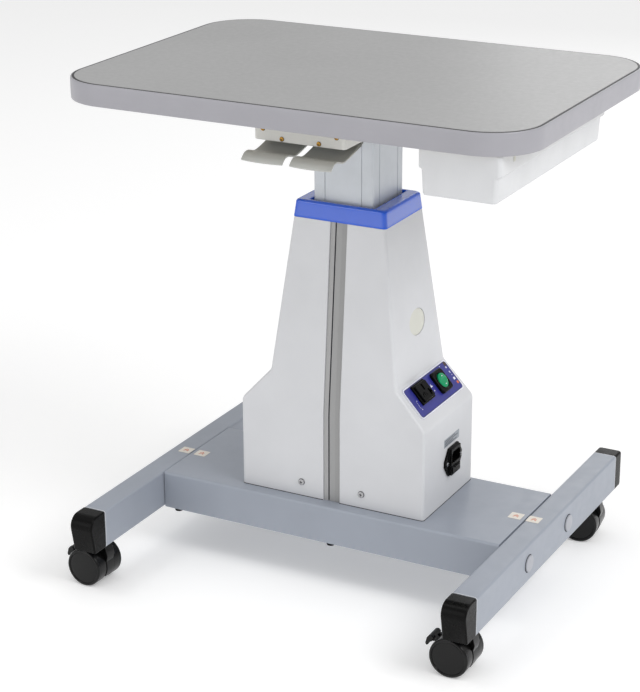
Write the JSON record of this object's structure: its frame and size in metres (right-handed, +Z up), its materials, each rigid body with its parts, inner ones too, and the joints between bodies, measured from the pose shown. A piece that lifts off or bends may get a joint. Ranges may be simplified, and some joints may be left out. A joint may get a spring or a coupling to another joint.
{
  "type": "electric lift table",
  "caption": "Electric height-adjustable instrument table on a telescoping column, with an H-shaped caster base, a side drawer and paddle switches.",
  "frame": {"origin": "on the floor, under the middle of the object's bounding box", "axes": "+Z up, +X to the right as a user sits at the front, -Y towards the user (front), +Y to the rear"},
  "size_m": [0.609, 0.515, 0.652],
  "materials": {
    "base_paint": "satin powder coat, fine orange peel",
    "black_plastic": "satin moulded black",
    "caster_black": "semi-gloss moulded black",
    "steel": "zinc plated",
    "label_film": null,
    "anodised": "satin anodised extrusion",
    "slide_nylon": "natural nylon",
    "motor_grey": "dark grey enamel",
    "cover_paint": "warm white powder coat on sheet steel",
    "strip_grey": "two-tone satin grey strip",
    "collar_blue": "glossy moulded blue",
    "plug_cream": "satin moulded cream",
    "panel_blue": "printed indigo panel film",
    "rocker_green": "translucent green",
    "brass": "bright",
    "board": "particle board core",
    "laminate": "fine-textured light grey laminate",
    "edge_grey": "smooth grey edge band",
    "drawer_white": "satin moulded white",
    "housing_white": "satin moulded white",
    "paddle_grey": "satin moulded warm grey"
  },
  "bodies": {
    "base": {"base_channel": "base_paint", "left_rail": "base_paint", "right_rail": "base_paint", "rail_front_caps": "black_plastic", "rail_rear_caps": "black_plastic", "rail_bolt_plugs": "base_paint", "rail_bolts": "steel", "caster_sockets": "steel", "channel_feet": "black_plastic", "seam_labels": "label_film", "column_foot": "steel", "foot_bolts": "steel", "outer_column": "anodised", "column_glides": "slide_nylon", "gear_motor": "motor_grey", "screw_bearing": "steel", "control_box": "motor_grey", "left_cover": "cover_paint", "right_cover": "cover_paint", "front_strip": "strip_grey", "rear_strip": "strip_grey", "collar": "collar_blue", "cover_screws": "steel", "side_plug": "plug_cream", "control_panel": "panel_blue", "outlet_socket": "black_plastic", "rocker_frame": "black_plastic", "mains_inlet": "black_plastic", "rating_label": "label_film"},
    "lift": {"inner_column": "anodised", "drive_nut": "brass", "guide_pads": "slide_nylon", "top_bracket": "steel", "bracket_screws": "steel", "table_board": "board", "laminate_top": "laminate", "edge_band": "edge_grey", "drawer_runners": "steel", "switch_housing": "housing_white", "housing_screws": "brass", "paddle_pin": "steel", "micro_switches": "black_plastic"},
    "screw": {"lead_screw": "steel"},
    "drawer": {"drawer": "drawer_white"},
    "up_paddle": {"up_paddle": "paddle_grey"},
    "down_paddle": {"down_paddle": "paddle_grey"},
    "rocker": {"rocker_button": "rocker_green"},
    "fuse_drawer": {"fuse_drawer": "black_plastic"},
    "caster_front_left": {"caster_body_front_left": "caster_black"},
    "wheels_front_left": {"caster_wheels_front_left": "caster_black"},
    "brake_front_left": {"brake_lever_front_left": "caster_black"},
    "caster_front_right": {"caster_body_front_right": "caster_black"},
    "wheels_front_right": {"caster_wheels_front_right": "caster_black"},
    "brake_front_right": {"brake_lever_front_right": "caster_black"},
    "caster_rear_left": {"caster_body_rear_left": "caster_black"},
    "wheels_rear_left": {"caster_wheels_rear_left": "caster_black"},
    "caster_rear_right": {"caster_body_rear_right": "caster_black"},
    "wheels_rear_right": {"caster_wheels_rear_right": "caster_black"}
  },
  "joints": [
    {"name": "lift", "type": "slide", "parent": "base", "child": "lift", "axis": [0, 0, 1], "range_m": [0, 0.2]},
    {"name": "screw_turn", "type": "hinge", "parent": "base", "child": "screw", "pos_m": [0, 0.002, 0.3], "axis": [0, 0, 1], "range_deg": [0, 7200]},
    {"name": "drawer_slide", "type": "slide", "parent": "lift", "child": "drawer", "axis": [0, -1, 0], "range_m": [0, 0.25]},
    {"name": "up_press", "type": "hinge", "parent": "lift", "child": "up_paddle", "pos_m": [-0.026, -0.112, 0.602], "axis": [1, 0, 0], "range_deg": [0, 8], "stiffness_Nm_per_rad": 1, "springref_deg": -5.73},
    {"name": "down_press", "type": "hinge", "parent": "lift", "child": "down_paddle", "pos_m": [0.037, -0.112, 0.602], "axis": [1, 0, 0], "range_deg": [0, 8], "stiffness_Nm_per_rad": 1, "springref_deg": -5.73},
    {"name": "rocker_tip", "type": "hinge", "parent": "base", "child": "rocker", "pos_m": [0.10441, 0.027, 0.25854], "axis": [0, -1, 0], "range_deg": [0, 14]},
    {"name": "fuse_pull", "type": "slide", "parent": "base", "child": "fuse_drawer", "axis": [1, 0, 0], "range_m": [0, 0.02]},
    {"name": "swivel_front_left", "type": "hinge", "parent": "base", "child": "caster_front_left", "pos_m": [-0.255, -0.2095, 0.07], "axis": [0, 0, 1], "continuous": true},
    {"name": "roll_front_left", "type": "hinge", "parent": "caster_front_left", "child": "wheels_front_left", "pos_m": [-0.27198, -0.20861, 0.025], "axis": [0.0523, 0.9986, 0], "continuous": true},
    {"name": "brake_front_left", "type": "hinge", "parent": "caster_front_left", "child": "brake_front_left", "pos_m": [-0.28728, -0.20781, 0.03786], "axis": [-0.0523, -0.9986, 0], "range_deg": [0, 18]},
    {"name": "swivel_front_right", "type": "hinge", "parent": "base", "child": "caster_front_right", "pos_m": [0.255, -0.2095, 0.07], "axis": [0, 0, 1], "continuous": true},
    {"name": "roll_front_right", "type": "hinge", "parent": "caster_front_right", "child": "wheels_front_right", "pos_m": [0.238, -0.2095, 0.025], "axis": [0, 1, 0], "continuous": true},
    {"name": "brake_front_right", "type": "hinge", "parent": "caster_front_right", "child": "brake_front_right", "pos_m": [0.22268, -0.2095, 0.03786], "axis": [0, -1, 0], "range_deg": [0, 18]},
    {"name": "swivel_rear_left", "type": "hinge", "parent": "base", "child": "caster_rear_left", "pos_m": [-0.255, 0.205, 0.07], "axis": [0, 0, 1], "continuous": true},
    {"name": "roll_rear_left", "type": "hinge", "parent": "caster_rear_left", "child": "wheels_rear_left", "pos_m": [-0.27174, 0.20205, 0.025], "axis": [-0.1736, 0.9848, 0], "continuous": true},
    {"name": "swivel_rear_right", "type": "hinge", "parent": "base", "child": "caster_rear_right", "pos_m": [0.255, 0.205, 0.07], "axis": [0, 0, 1], "continuous": true},
    {"name": "roll_rear_right", "type": "hinge", "parent": "caster_rear_right", "child": "wheels_rear_right", "pos_m": [0.23809, 0.20322, 0.025], "axis": [-0.1045, 0.9945, 0], "continuous": true}
  ],
  "couplings": [
    {"joint": "screw_turn", "follows": "lift", "rad_per_m": 628.32}
  ]
}
